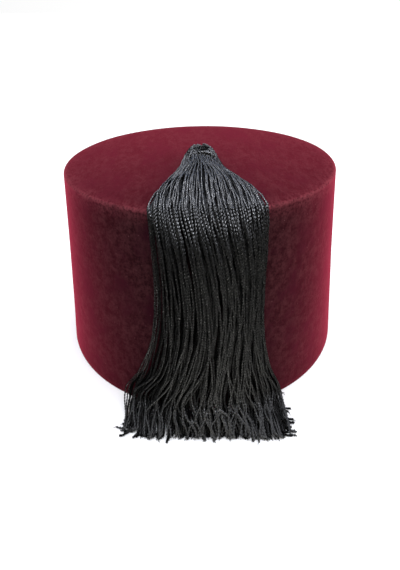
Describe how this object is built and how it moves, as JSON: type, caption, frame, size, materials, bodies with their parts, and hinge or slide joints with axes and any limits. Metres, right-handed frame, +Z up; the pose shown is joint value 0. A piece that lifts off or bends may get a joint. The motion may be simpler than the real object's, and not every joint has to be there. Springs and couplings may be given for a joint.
{
  "type": "fez hat",
  "caption": "Stiff felt cap with a flat top and a side that widens to an open rim, and a long cord tassel over its front edge.",
  "frame": {"origin": "middle of the whole object's box, at the level of the rim it stands on", "axes": "+Z up, along the crown's axis; -Y to the front, where the tassel hangs; +X to the right in the front view"},
  "size_m": [0.1844, 0.208, 0.123],
  "materials": {
    "red_felt": "velvet nap",
    "black_cord": "silky twisted cord",
    "tie_cord": "matte"
  },
  "bodies": {
    "root": {"crown": "red_felt", "tassel": "black_cord", "tassel_tie": "tie_cord"}
  },
  "joints": []
}
